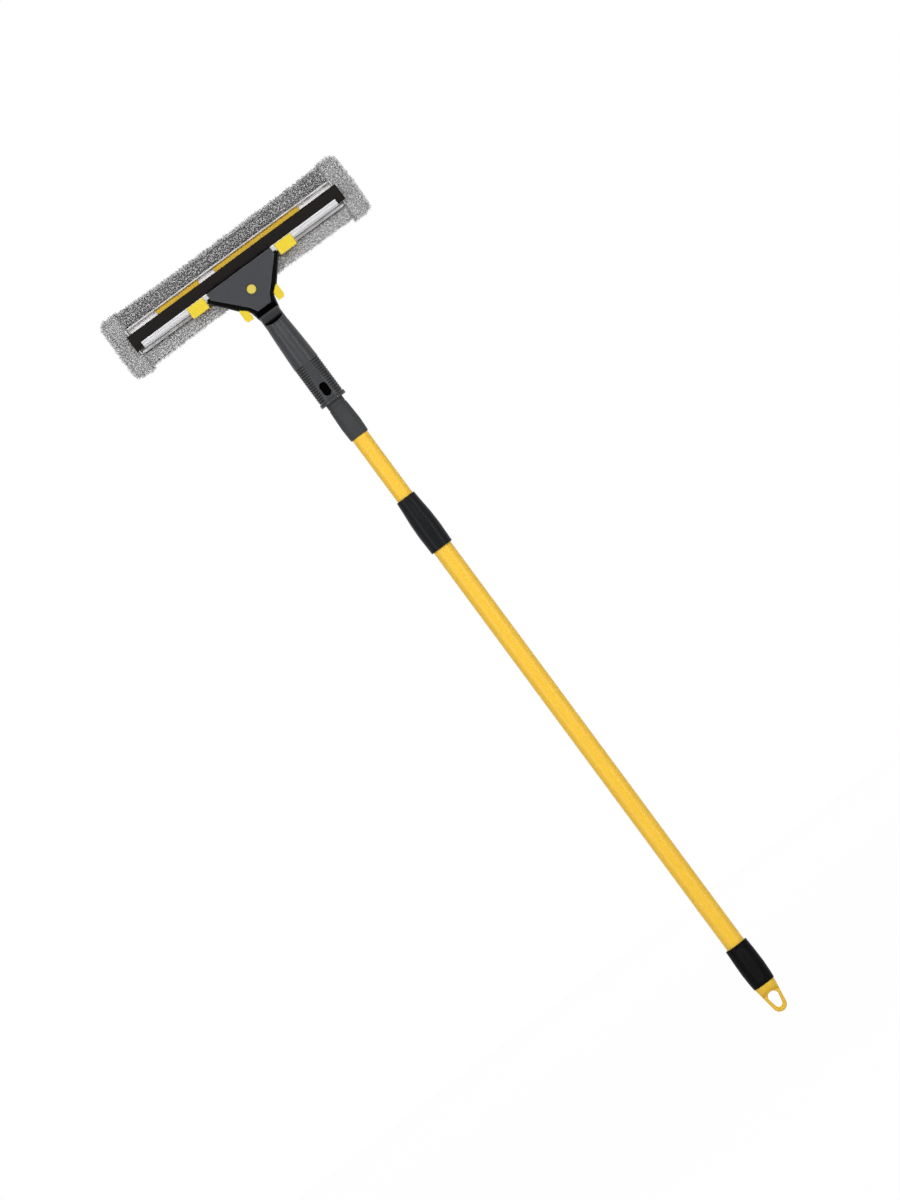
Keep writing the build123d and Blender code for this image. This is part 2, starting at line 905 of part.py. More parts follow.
# Head
save(front_plate(), "front_plate", pivot_z)
save(front_liner(), "front_liner", pivot_z)
save(rear_jaw(), "rear_jaw", pivot_z)
save(pivot_pin(), "pivot_pin", pivot_z)
save(pivot_nut(), "pivot_nut", pivot_z)
save(pivot_cap(), "pivot_cap", pivot_z)
save(blade_channel(), "blade_channel", pivot_z)
save(squeegee_blade(), "squeegee_blade", pivot_z)
save(clip(-1), "clip_left", pivot_z)
save(clip(1), "clip_right", pivot_z)
save(carrier_plate(), "carrier_plate", pivot_z)
save(strip(left_strip_start, left_strip_end), "strip_left", pivot_z)
save(strip(right_strip_start, right_strip_end), "strip_right", pivot_z)
save(pad_wrap(), "pad_wrap", pivot_z)
save(pad_pocket(-1), "pad_pocket_left", pivot_z)
save(pad_pocket(1), "pad_pocket_right", pivot_z)

# Handle and its catches
save(handle(), "handle", pivot_z)
save(lever(-1), "lever_left", pivot_z)
save(lever(1), "lever_right", pivot_z)
save(lever_pins(), "lever_pins", pivot_z)
save(lever_spring(), "lever_spring", pivot_z)
save(pole_tip(), "pole_tip", pivot_z)
save(snap_button(), "snap_button", pivot_z)
save(snap_spring(), "snap_spring", pivot_z)
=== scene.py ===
# %% [markdown]
# # Dressing a window scrubber
# The tool is a rubber squeegee and a plush washing sleeve on one swivelling head, carried by a
# telescopic pole. The rigid pieces come from a CAD model, already in place and to size. This
# lesson gives each of them a finish, builds the soft sleeve, and photographs the whole tool on
# white. Everything is in metres, with the pole along Z and the front towards -Y.

# %% Load the packed model
import math

import bmesh
import bpy
import numpy as np
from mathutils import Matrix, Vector, kdtree


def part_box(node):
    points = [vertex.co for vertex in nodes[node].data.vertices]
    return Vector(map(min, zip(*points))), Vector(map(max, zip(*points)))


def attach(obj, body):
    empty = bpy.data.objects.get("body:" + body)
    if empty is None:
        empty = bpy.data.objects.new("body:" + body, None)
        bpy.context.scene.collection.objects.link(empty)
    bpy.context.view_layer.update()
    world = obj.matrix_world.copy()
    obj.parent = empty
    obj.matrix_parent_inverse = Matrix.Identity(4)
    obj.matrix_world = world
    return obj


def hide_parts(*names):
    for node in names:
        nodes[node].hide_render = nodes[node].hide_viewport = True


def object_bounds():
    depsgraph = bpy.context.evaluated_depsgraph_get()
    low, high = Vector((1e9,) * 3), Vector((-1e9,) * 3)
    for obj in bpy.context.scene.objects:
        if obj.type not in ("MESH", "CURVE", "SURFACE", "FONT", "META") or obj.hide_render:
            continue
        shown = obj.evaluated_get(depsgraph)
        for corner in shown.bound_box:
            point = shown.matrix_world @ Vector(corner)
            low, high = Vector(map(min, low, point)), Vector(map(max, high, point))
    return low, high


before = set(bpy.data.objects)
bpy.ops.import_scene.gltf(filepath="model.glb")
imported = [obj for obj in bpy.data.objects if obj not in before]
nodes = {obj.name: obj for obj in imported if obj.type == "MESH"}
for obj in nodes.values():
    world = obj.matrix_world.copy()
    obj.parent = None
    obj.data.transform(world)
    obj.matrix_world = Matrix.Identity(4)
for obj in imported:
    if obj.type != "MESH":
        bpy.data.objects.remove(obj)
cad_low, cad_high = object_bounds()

mm = 0.001
print("pieces:", len(nodes), "height:", round(cad_high.z - cad_low.z, 3))

# %% [markdown]
# ## The camera
# The photograph was taken square on, from far away, with the tool lying across the frame. A
# long lens gives the same flat perspective. The frame is a little over a metre wide, so one
# pixel of it is 1.21 mm at the pole. The swivel pivot is easy to find in both, so the camera
# is aimed by keeping the pivot on its pixel. The pole is upright here and slants there, so
# the camera rolls by that angle.

# %% Place the camera
photo_width, photo_height = 900, 1200
pixel = 1.2136 * mm
pivot_pixel_x, pivot_pixel_y = 251.7, 289.4
pole_tilt = math.radians(36.44)
camera_distance = 8.7
long_side_sensor = 36.0

pin_low, pin_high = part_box("pivot_pin")
pivot = Vector((0, 0, (pin_low.z + pin_high.z) / 2))
photo_right = Vector((math.cos(pole_tilt), 0, -math.sin(pole_tilt)))
photo_up = Vector((math.sin(pole_tilt), 0, math.cos(pole_tilt)))
aim = pivot + photo_right * (photo_width / 2 - pivot_pixel_x) * pixel
aim -= photo_up * (photo_height / 2 - pivot_pixel_y) * pixel

bpy.ops.object.camera_add(
    location=aim - Vector((0, camera_distance, 0)), rotation=(math.pi / 2, pole_tilt, 0)
)
camera = bpy.context.object
camera.name = "photo_camera"
camera.data.sensor_width = long_side_sensor
camera.data.lens = long_side_sensor * camera_distance / (photo_height * pixel)
bpy.context.scene.camera = camera
print("lens:", round(camera.data.lens, 1), "mm, aimed at", [round(x, 3) for x in aim])

# %% [markdown]
# ## A small language for finishes
# A finish is a graph of nodes. Written out link by link it is hard to read, so one class
# stands for a wire between nodes and lets us add and multiply wires as if they were numbers.
# Each sum on wires adds the Math node that does it.


# %% Wires
class Wire:
    """The output of a node, usable in sums."""

    def __init__(self, graph, socket):
        self.graph, self.socket = graph, socket

    def output(self, name):
        """Another output of the same node."""
        return Wire(self.graph, self.socket.node.outputs[name])

    def __add__(self, other):
        return self.graph.maths("ADD", self, other)

    def __sub__(self, other):
        return self.graph.maths("SUBTRACT", self, other)

    def __rsub__(self, other):
        return self.graph.maths("SUBTRACT", other, self)

    def __mul__(self, other):
        return self.graph.maths("MULTIPLY", self, other)

    def __abs__(self):
        return self.graph.maths("ABSOLUTE", self)

    __radd__ = __add__
    __rmul__ = __mul__


print("made:", Wire.__name__, "-", Wire.__doc__)

# %% [markdown]
# A second class holds the graph. One call makes any node: it is told the node's type, its
# settings and what goes into its sockets. The rest are short names for sums that come back
# often, such as a slope between two values, or a band with soft edges.


# %% Graphs
class Graph:
    """The nodes of a material or a world, made by calls."""

    def __init__(self, tree):
        self.tree = tree

    def node(self, kind, settings=None, sockets=None, output=0):
        made = self.tree.nodes.new(kind)
        for key, value in (settings or {}).items():
            setattr(made, key, value)
        for key, value in (sockets or {}).items():
            self.plug(made.inputs[key], value)
        return Wire(self, made.outputs[output])

    def plug(self, target, value):
        """Links a wire to a socket, or writes a constant into it."""
        if isinstance(value, Wire):
            self.tree.links.new(value.socket, target)
        elif target.type == "RGBA":
            target.default_value = (*value, 1)
        else:
            target.default_value = value

    def maths(self, operation, first, second=0.0):
        return self.node("ShaderNodeMath", {"operation": operation}, {0: first, 1: second})

    def clamped(self, value):
        return self.node("ShaderNodeClamp", None, {"Value": value})

    def rise(self, value, start, end):
        """0 below start, 1 above end, and a straight slope between them."""
        sockets = {"Value": value, "From Min": start, "From Max": end}
        return self.node("ShaderNodeMapRange", None, sockets)

    def within(self, value, low, high, soft):
        """1 between two values, with a soft edge at each."""
        rising = self.rise(value, low - soft, low + soft)
        return rising * self.rise(value, high + soft, high - soft)

    def mix(self, share, first, second):
        """A colour between two, where share goes from 0 to 1."""
        sockets = {0: share, 6: first, 7: second}
        return self.node("ShaderNodeMix", {"data_type": "RGBA"}, sockets, output=2)


print("made:", Graph.__name__, "-", Graph.__doc__)

# %% [markdown]
# A finish is a graph that ends in a Principled surface. Its patterns read the coordinates of
# the object itself, so they stay on a piece when its joint moves. Most wear is on edges, and
# the surface's direction tells an edge from a flat face.

# %% Finishes
edge_start, edge_full = 0.96, 0.85


class Finish(Graph):
    """A material, with the surface coordinates that its patterns need."""

    def __init__(self, name, **constants):
        self.material = bpy.data.materials.new(name)
        self.material.use_nodes = True
        super().__init__(self.material.node_tree)
        self.surface = self.tree.nodes["Principled BSDF"]
        for socket, value in constants.items():
            self.surface.inputs[socket.replace("_", " ")].default_value = value

    def feed(self, socket, value):
        """Puts a wire or a constant into a socket of the surface."""
        self.plug(self.surface.inputs[socket], value)

    def mix_in(self, share, other):
        """Shows another surface in place of the first, where share goes from 0 to 1."""
        own = Wire(self, self.surface.outputs[0])
        both = self.node("ShaderNodeMixShader", None, {0: share, 1: own, 2: other})
        self.plug(self.tree.nodes["Material Output"].inputs["Surface"], both)

    def place(self, stretch=(1, 1, 1)):
        """Object coordinates, scaled along each axis."""
        where = self.node("ShaderNodeTexCoord").output("Object")
        return self.node("ShaderNodeMapping", None, {"Vector": where, "Scale": stretch})

    def axes(self):
        """The three object coordinates, in metres."""
        x = self.node("ShaderNodeSeparateXYZ", None, {"Vector": self.place()})
        return x, x.output("Y"), x.output("Z")

    def noise(self, scale, detail=2.0, roughness=0.5, stretch=(1, 1, 1)):
        sockets = {"Vector": self.place(stretch), "Scale": scale, "Detail": detail}
        sockets["Roughness"] = roughness
        return self.node("ShaderNodeTexNoise", None, sockets)

    def corners(self):
        """1 on bevels and round corners, and 0 on faces that are square to an axis."""
        normal = self.node("ShaderNodeTexCoord").output("Normal")
        x = self.node("ShaderNodeSeparateXYZ", None, {"Vector": normal})
        widest = self.maths("MAXIMUM", abs(x), abs(x.output("Y")))
        widest = self.maths("MAXIMUM", widest, abs(x.output("Z")))
        return self.rise(widest, edge_start, edge_full)

    def bump(self, height, strength, distance):
        sockets = {"Height": height, "Strength": strength, "Distance": distance}
        self.feed("Normal", self.node("ShaderNodeBump", None, sockets))


print("made:", Finish.__name__, "-", Finish.__doc__)

# %% [markdown]
# Colours are picked as a screen shows them, from 0 to 255, while shaders count in amounts of
# light. One helper turns the first into the second, and another makes a colour lighter or
# darker.


# %% Colours
def linear(red, green, blue):
    """A colour as seen on a screen, 0 to 255, turned into the light values that shaders use."""
    shares = [value / 255 for value in (red, green, blue)]
    return tuple(s / 12.92 if s <= 0.04045 else ((s + 0.055) / 1.055) ** 2.4 for s in shares)


def shaded(colour, share):
    """The same colour, lighter or darker."""
    return tuple(min(1.0, value * share) for value in colour)


print("mid grey is", [round(value, 3) for value in linear(128, 128, 128)])

# %% [markdown]
# ## The studio
# The photograph has a pure white ground. The camera, mirrors and glass see the world as that
# white. All other light sees a much dimmer sky, so the ground doesn't light the tool.

# %% Make the ground white
sky_level = 0.14


def white_share(graph):
    """1 for what the camera, a mirror or glass sees, and 0 for all other light."""
    path = graph.node("ShaderNodeLightPath")
    seen = path.output("Is Camera Ray") + path.output("Is Glossy Ray")
    return graph.clamped(seen + path.output("Is Transmission Ray"))


world = bpy.data.worlds.new("studio")
bpy.context.scene.world = world
world.use_nodes = True
studio = Graph(world.node_tree)
sky = studio.node("ShaderNodeBackground", None, {"Color": (1, 1, 1), "Strength": sky_level})
ground = studio.node("ShaderNodeBackground", None, {"Color": (1, 1, 1), "Strength": 1.0})
room = studio.node("ShaderNodeMixShader", None, {0: white_share(studio), 1: sky, 2: ground})
studio.plug(world.node_tree.nodes["World Output"].inputs["Surface"], room)
bpy.context.scene.view_settings.view_transform = "Standard"
print("sky:", sky_level, "of the white ground")

# %% [markdown]
# There is no shadow in the photograph, and each round piece has two soft upright highlights,
# one on each side of its middle. So a narrow strip light stands on either side of the camera,
# about 45 degrees off. One large lamp above the camera gives most of the light, which also
# keeps the picture free of grain. Another behind the tool shows its back, which the
# photograph doesn't.

# %% Hang the lamps
strip_azimuth = 46
strip_lamp = {"distance": 2.6, "width": 0.45, "height": 2.6, "power": 22}
top_lamp = {"distance": 3.0, "width": 2.0, "height": 1.0, "power": 50, "lift": 0.55}
back_lamp = {"distance": 3.0, "width": 2.4, "height": 1.6, "power": 55, "lift": 0.5}


def soft_light(name, azimuth, distance, width, height, power, lift=0.0):
    """A soft light that faces the tool from that side of the camera."""
    angle = math.radians(azimuth)
    middle = (cad_low + cad_high) / 2
    offset = Vector((math.sin(angle), -math.cos(angle), lift)) * distance
    bpy.ops.object.light_add(type="AREA", location=middle + offset)
    lamp = bpy.context.object
    lamp.name = name
    lamp.data.shape = "RECTANGLE"
    lamp.data.size, lamp.data.size_y = width, height
    lamp.data.energy = power
    lamp.visible_camera = False
    lamp.rotation_mode = "QUATERNION"
    lamp.rotation_quaternion = (-offset).to_track_quat("-Z", "Y")


soft_light("strip_light_left", -strip_azimuth, **strip_lamp)
soft_light("strip_light_right", strip_azimuth, **strip_lamp)
soft_light("top_light", 0, **top_lamp)
soft_light("back_light", 180, **back_lamp)
print("lights:", [lamp.name for lamp in bpy.data.lights])

# %% [markdown]
# ## The floor
# The tool stands over a plain pale floor. It would show as a grey band behind the tool, so
# the camera sees it nearly white, with only a trace of the tool's shadow left in it.

# %% Lay the floor
floor_gap = 2 * mm
floor_radius, floor_corners = 3.2, 96
glow_share = 0.97
floor_height = cad_low.z - floor_gap
bpy.ops.mesh.primitive_circle_add(
    vertices=floor_corners, radius=floor_radius, fill_type="NGON", location=(0, 0, floor_height)
)
floor = bpy.context.object
floor.name = "floor"
paper = Finish("floor_paper", Roughness=0.9)
paper.feed("Base Color", paper.mix(paper.noise(3), (0.86, 0.86, 0.86), (0.9, 0.9, 0.9)))
glow = paper.node("ShaderNodeEmission", None, {"Color": (1, 1, 1), "Strength": 1.0})
paper.mix_in(white_share(paper) * glow_share, glow)
floor.data.materials.append(paper.material)
print("floor at", round(floor_height, 3))

# %% [markdown]
# ## Moulded plastics
# The grips, jaws and clips are injection mouldings. Their skin has a fine sparked grain from
# the mould, a slightly uneven gloss, and a faint cloudiness in the colour. Three noises do
# that: a fine one for the grain, a broad one for the gloss and a middling one for the colour.
# Flat mouldings are rubbed paler and smoother along their edges.

# %% Plastic finish
cloud_scale, wear_scale, gloss_scale, grain_scale = 60, 140, 35, 1300
gloss_spread = 0.16
worn_gloss, worn_paler = 0.1, 0.06
wear_start, wear_full = 0.3, 0.6
plain_grain, grain_depth = 0.06, 0.05 * mm


def moulded(name, colour, gloss, shine=0.3, cloud=0.08, wear=0.0):
    """A moulded plastic of one colour, rubbed along its edges by the share called wear."""
    finish = Finish(name, Specular_IOR_Level=shine)
    clouds = finish.noise(cloud_scale, 3)
    cloudy = finish.mix(clouds, shaded(colour, 1 - cloud), shaded(colour, 1 + cloud))
    worn = finish.rise(finish.noise(wear_scale, 3), wear_start, wear_full)
    rubbed = finish.corners() * worn * wear
    pale = tuple(value + worn_paler * (1 - value) for value in colour)
    finish.feed("Base Color", finish.mix(rubbed, cloudy, pale))
    uneven = gloss - gloss_spread / 2 + finish.noise(gloss_scale, 4) * gloss_spread
    finish.feed("Roughness", finish.clamped(uneven - rubbed * worn_gloss))
    finish.bump(finish.noise(grain_scale, 2, 0.6), plain_grain, grain_depth)
    return finish


plate_charcoal = moulded("plate_moulding", linear(62, 63, 67), 0.42, 0.15, wear=0.7)
jaw_charcoal = moulded("jaw_moulding", linear(64, 65, 68), 0.42, 0.15, wear=0.6)
liner_black = moulded("liner_moulding", linear(8, 8, 8), 0.6, 0.03)
tip_charcoal = moulded("tip_moulding", linear(66, 67, 68), 0.45, 0.08)
# the catch lies in shadow, so its near-black colour is painted shade
catch_shade_black = moulded("catch_shade_moulding", linear(3, 3, 3), 0.6, 0.01)
grip_black = moulded("collar_moulding", linear(26, 27, 29), 0.3, 0.07)
sleeve_black = moulded("end_sleeve_moulding", linear(15, 15, 16), 0.34, 0.03)
clip_lemon = moulded("clip_moulding", linear(234, 207, 50), 0.36, 0.2, cloud=0.03, wear=0.8)
cap_lemon = moulded("cap_moulding", linear(221, 200, 88), 0.36, 0.25, cloud=0.05, wear=0.8)
strip_ochre = moulded("strip_moulding", linear(236, 193, 58), 0.5, 0.2, cloud=0.08, wear=0.8)
loop_yellow = moulded("loop_moulding", linear(238, 194, 58), 0.4, 0.25, cloud=0.04)
print("plastics:", len([m for m in bpy.data.materials if m.name.endswith("moulding")]))

# %% [markdown]
# ## The handle's own finish
# The handle is the same charcoal, but it isn't one even colour. The rib grooves and the parting
# line round the mouth are darkened with painted shade and dulled by dust. The deep hollow under
# the head and the tongue above it get hardly any light, so a second, dull black surface is mixed
# in there as painted shade. All of these are found by height and by distance from the pole's
# axis, so they stay on the handle when it moves. The hollow ends in an arch above the ledge.

# %% Handle finish
neck_top = 34 * mm
neck_face = 2 * mm
hollow_start, hollow_end = 35 * mm, 45.5 * mm
arch_top, arch_curve = 49.4 * mm, 19.0
hollow_face = 6.8 * mm
ribs_start, ribs_end = 111.4 * mm, 162.4 * mm
rib_pitch, groove_half = 3.4 * mm, 0.9 * mm
rib_crest, rib_root = 16.88 * mm, 15.4 * mm
mouth_line = 164.6 * mm
line_half, line_soft = 0.45 * mm, 0.03 * mm
groove_shade, mouth_shade = 0.9, 0.8
edge_soft = 0.2 * mm


def unlit_parts(finish, x, y, down):
    """1 on the tongue and in the hollow under it, and 0 on the rest of the handle."""
    tongue = finish.rise(down, neck_top + edge_soft, neck_top - edge_soft)
    tongue = tongue * finish.rise(y, -neck_face, -neck_face - edge_soft)
    arch = finish.rise(down + x * x * arch_curve, arch_top + edge_soft, arch_top - edge_soft)
    hollow = finish.rise(down, hollow_start, hollow_end) * arch
    hollow = hollow * finish.rise(y, -hollow_face + edge_soft, -hollow_face)
    return finish.clamped(tongue + hollow)


def shaded_dusty_lines(finish, from_axis, down):
    """1 in the rib grooves and the line round the mouth, where painted shade and dust darken the
    handle.
    """
    outside = finish.rise(from_axis, rib_root, rib_root + edge_soft)
    from_groove = finish.maths("PINGPONG", down - ribs_start - rib_pitch / 2, rib_pitch / 2)
    grooves = finish.rise(from_groove, groove_half + edge_soft, groove_half - edge_soft)
    grooves = grooves * finish.within(down, ribs_start, ribs_end, edge_soft)
    grooves = grooves * finish.rise(from_axis, rib_crest + line_soft, rib_crest - line_soft)
    mouth = finish.within(down, mouth_line - line_half, mouth_line + line_half, edge_soft)
    return finish.clamped((grooves * groove_shade + mouth * mouth_shade) * outside)


print("ribs:", round((ribs_end - ribs_start) / rib_pitch), "each", round(rib_pitch / mm, 1), "mm")

# %% [markdown]
# The finish itself is the plastic above, with the grooves' painted shade mixed into its colour
# and their dust into its gloss, and the dull black surface of painted shade mixed over it.

# %% Mix the handle's finish
handle_gloss, handle_spread, dust_dulls = 0.25, 0.12, 0.3
handle_cloud = 0.07


def handle_finish():
    finish = Finish("handle_moulding", Specular_IOR_Level=0.22)
    colour = linear(58, 59, 62)
    x, y, z = finish.axes()
    down = pivot.z - z
    from_axis = finish.maths("SQRT", x * x + y * y)
    shade_and_dust = shaded_dusty_lines(finish, from_axis, down)
    clouds = finish.noise(cloud_scale, 3)
    dark, pale = shaded(colour, 1 - handle_cloud), shaded(colour, 1 + handle_cloud)
    cloudy = finish.mix(clouds, dark, pale)
    # the grooves and the mouth line take this dark grey as painted shade
    finish.feed("Base Color", finish.mix(shade_and_dust, cloudy, linear(18, 18, 19)))
    uneven = handle_gloss + finish.noise(gloss_scale, 4) * handle_spread
    finish.feed("Roughness", finish.clamped(uneven + shade_and_dust * dust_dulls))
    finish.bump(finish.noise(grain_scale, 2, 0.6), plain_grain, grain_depth)
    black = {"Base Color": linear(3, 3, 4), "Roughness": 0.8, "Specular IOR Level": 0.01}
    unlit = finish.node("ShaderNodeBsdfPrincipled", None, black)
    finish.mix_in(unlit_parts(finish, x, y, down), unlit)
    return finish


handle_charcoal = handle_finish()
print("handle finish nodes:", len(handle_charcoal.tree.nodes))

# %% [markdown]
# ## Painted tube
# The two tubes are powder coated: a smooth satin yellow with a little orange peel, and fine
# scuffs where hands and the collar slide along it. The scuffs are a noise drawn out a
# hundredfold along the pole.

# %% Tube paint
scuff_scale, scuff_stretch = 900, (1, 1, 0.012)
scuff_start, scuff_full = 0.55, 0.72
paint_gloss, scuff_dulls = 0.38, 0.08
peel_scale, peel_strength, peel_depth = 420, 0.03, 0.05 * mm


def tube_paint():
    """Yellow powder coat."""
    finish = Finish("tube_paint", Specular_IOR_Level=0.4, Coat_Weight=0.1, Coat_Roughness=0.35)
    warm, pale = linear(248, 195, 44), linear(251, 203, 56)
    finish.feed("Base Color", finish.mix(finish.noise(14, 3), warm, pale))
    scratches = finish.noise(scuff_scale, 2, 0.7, scuff_stretch)
    scuffs = finish.rise(scratches, scuff_start, scuff_full)
    finish.feed("Roughness", finish.clamped(paint_gloss + scuffs * scuff_dulls))
    finish.bump(finish.noise(peel_scale, 2), peel_strength, peel_depth)
    return finish


paint = tube_paint()
print("tube paint nodes:", len(paint.tree.nodes))

# %% [markdown]
# ## Metals
# The blade's channel and the sleeve's carrier are aluminium. An extrusion has fine drawn
# lines along its length, which spread its highlight across them. The same recipe, with the
# lines turned and weakened, does for the rolled carrier sheet and the zinc plated pins. Each
# metal also has a share of white oxide, which is dull and not a mirror, as old aluminium has.

# %% Metal finish
streak_scale, streak_dark, darkened_share = 1400, 0.86, 0.45
oxide_scale, oxide_spread = 40, 0.2
streak_spread, streak_depth = 0.12, 0.02 * mm


def drawn_metal(name, colour, gloss, lines, stretch, metal, darkening=None):
    """A metal with fine lines, drawn out along the axis where stretch is small."""
    finish = Finish(name, Specular_IOR_Level=0.5)
    streaks = finish.noise(streak_scale, 3, 0.6, stretch)
    tint = finish.mix(streaks, shaded(colour, streak_dark), colour)
    # darkening, where given, paints shade into the channel's slit and makes its lower lip darker
    if darkening:
        tint = finish.mix(darkening(finish), tint, shaded(colour, darkened_share))
    finish.feed("Base Color", tint)
    oxide = finish.noise(oxide_scale, 3) * oxide_spread
    finish.feed("Metallic", finish.clamped(metal - oxide_spread / 2 + oxide))
    finish.feed("Roughness", finish.clamped(gloss - streak_spread / 2 + streaks * streak_spread))
    finish.bump(streaks, lines, streak_depth)
    return finish


carrier_sheet = drawn_metal("carrier_sheet", linear(252, 248, 249), 0.5, 0.1, (0.03, 1, 1), 0.1)
zinc = drawn_metal("zinc_plate", linear(205, 206, 210), 0.3, 0.1, (1, 1, 1), 0.95)
print("metals:", [finish.material.name for finish in (carrier_sheet, zinc)])

# %% [markdown]
# The channel is the same metal, darker in two places. The slit under its top edge, where the
# rubber goes in, gets painted shade, and the lower lip, next to the sleeve, is painted darker.

# %% Channel finish
slit_low, slit_high, slit_soft = 25.1 * mm, 26.0 * mm, 0.3 * mm
lip_plain, lip_darkest = 22.6 * mm, 21.6 * mm
slit_shade, lip_darkening = 0.65, 0.7


def slit_shade_and_dark_lip(finish):
    """How dark the channel is painted at each height above the pivot, as a share: shade in the
    slit and a darker lower lip.
    """
    up = finish.axes()[2] - pivot.z
    slit = finish.within(up, slit_low, slit_high, slit_soft)
    lip = finish.rise(up, lip_plain, lip_darkest)
    return finish.clamped(slit * slit_shade + lip * lip_darkening)


channel_alloy = drawn_metal(
    "channel_alloy", linear(186, 186, 188), 0.4, 0.2, (0.01, 1, 1), 0.6, slit_shade_and_dark_lip
)
print("channel finish nodes:", len(channel_alloy.tree.nodes))

# %% [markdown]
# ## Rubber
# The blade is smooth black rubber, cut from a long strip. It is duller than the plastic, and
# keeps faint lines along its length from the die.


# %% Rubber finish
def blade_rubber():
    """Black rubber with a faint grey bloom."""
    finish = Finish("blade_rubber", Specular_IOR_Level=0.06)
    bloom = finish.noise(25, 4)
    finish.feed("Base Color", finish.mix(bloom, linear(26, 24, 22), linear(34, 31, 29)))
    lines = finish.noise(1100, 2, 0.6, (0.006, 1, 1))
    finish.feed("Roughness", finish.clamped(0.55 + bloom * 0.2))
    finish.bump(lines, 0.15, 0.03 * mm)
    return finish


rubber = blade_rubber()
print("rubber nodes:", len(rubber.tree.nodes))

# %% [markdown]
# ## Handing out the finishes
# The CAD pieces keep their meshes. Only the finish in their material slots changes.

# %% Finish the rigid pieces
finishes = {
    paint: ["outer_tube", "inner_tube"],
    grip_black: ["collar"],
    sleeve_black: ["end_sleeve"],
    tip_charcoal: ["pole_tip"],
    catch_shade_black: ["snap_button"],
    handle_charcoal: ["handle"],
    plate_charcoal: ["front_plate"],
    jaw_charcoal: ["rear_jaw"],
    liner_black: ["front_liner", "expander_stud", "expander_sleeve", "expander_cone"],
    clip_lemon: ["clip_left", "clip_right", "lever_left", "lever_right"],
    cap_lemon: ["pivot_cap"],
    strip_ochre: ["strip_left", "strip_right"],
    loop_yellow: ["hanging_loop"],
    channel_alloy: ["blade_channel"],
    carrier_sheet: ["carrier_plate"],
    zinc: ["pivot_pin", "pivot_nut", "lever_pins", "lever_spring", "snap_spring"],
    rubber: ["squeegee_blade"],
}


def dress(node, finish):
    """Puts one finish on the whole of a CAD piece."""
    for slot in nodes[node].material_slots:
        slot.link = "OBJECT"
        slot.material = finish.material


for finish, names in finishes.items():
    for name in names:
        dress(name, finish)
print("dressed:", sum(len(names) for names in finishes.values()))

# %% [markdown]
# ## The washing sleeve
# The sleeve is a plush cover, pulled over the carrier like a pillowcase, with an opening in
# front. Its pile is thousands of short curly tufts. A noise on a flat surface never gets its
# ragged edge, so the pile is real: short tapering strands that grow out of a padded core.
# First come a few helpers that select a piece, copy it and read the places of its points.

# %% Select, copy and read meshes
weld_gap = 0.01 * mm


def only(piece):
    """Makes a piece the one selected and active object."""
    bpy.ops.object.select_all(action="DESELECT")
    piece.select_set(True)
    bpy.context.view_layer.objects.active = piece


def merged_copy(node, name):
    """A copy of a CAD piece whose loose triangles are joined up."""
    piece = bpy.data.objects.new(name, nodes[node].data.copy())
    bpy.context.scene.collection.objects.link(piece)
    only(piece)
    bpy.ops.object.mode_set(mode="EDIT")
    bpy.ops.mesh.select_all(action="SELECT")
    bpy.ops.mesh.remove_doubles(threshold=weld_gap)
    bpy.ops.object.mode_set(mode="OBJECT")
    return piece


def points_of(mesh, kind="co"):
    """The place of each point, or its normal, as the rows of an array."""
    flat = np.empty(len(mesh.vertices) * 3)
    mesh.vertices.foreach_get(kind, flat)
    return flat.reshape(-1, 3)


def move_points(mesh, points):
    """Puts the points of a mesh in new places."""
    mesh.vertices.foreach_set("co", points.astype(np.float32).ravel())
    mesh.update()


print("points of the CAD pad:", len(points_of(nodes["pad_wrap"].data)))

# %% [markdown]
# ## The padded core
# Under the pile the sleeve is filled out, and drawn in along its seams. The core is a copy of
# the CAD pad, remeshed evenly, and a cloth simulation with a little air pressure in it swells
# it. Then its skin is sunk by the depth of the pile. The slot that the carrier goes into and
# the seams between the parts are held where they are.

# %% Swell the padded core
voxel = 3.0 * mm
air_steps = 20
swell_cap = 1.2 * mm
pile_depth = 2.8 * mm
air_pressure = 4.0
seam_margin = 5.0 * mm
slot_clear = 1.0 * mm
sheet_low, sheet_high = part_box("carrier_plate")
wrap_low, wrap_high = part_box("pad_wrap")


def inside_slot(points):
    """Which points lie against the carrier, where there is no pile."""
    low = np.array(sheet_low) - slot_clear
    high = np.array(sheet_high) + slot_clear
    return ((points > low) & (points < high)).all(axis=1)


def near_seam(points):
    """Which points lie by the seams between the wrap and the pockets."""
    return np.abs(np.abs(points[:, 0]) - wrap_high.x) < seam_margin


def padded_core(node, name):
    """An evenly meshed copy of a CAD pad."""
    core = merged_copy(node, name)
    core.data.remesh_voxel_size = voxel
    bpy.ops.object.voxel_remesh()
    return core


def swell(core):
    """Blows the core up a little, like a filled cover, and keeps each point near its place."""
    start = points_of(core.data)
    held = inside_slot(start) | near_seam(start)
    cloth = core.modifiers.new("Air", "CLOTH")
    cloth.settings.use_pressure = True
    cloth.settings.uniform_pressure_force = air_pressure
    cloth.settings.effector_weights.gravity = 0
    for step in range(1, air_steps + 1):
        bpy.context.scene.frame_set(step)
    only(core)
    bpy.ops.object.modifier_apply(modifier="Air")
    bpy.context.scene.frame_set(1)
    moved = points_of(core.data) - start
    length = np.linalg.norm(moved, axis=1, keepdims=True)
    moved *= np.minimum(1, swell_cap / np.maximum(length, 1e-9))
    moved[held] = 0
    move_points(core.data, start + moved)


def sink(core):
    """Lowers the core's skin by the depth of the pile, except in the slot and along the seams."""
    points = points_of(core.data)
    shift = points_of(core.data, "normal") * pile_depth
    shift[inside_slot(points)] = 0
    shift[near_seam(points), 0] = 0
    move_points(core.data, points - shift)


print("main panel:", [round(side / mm, 1) for side in wrap_high - wrap_low], "mm")

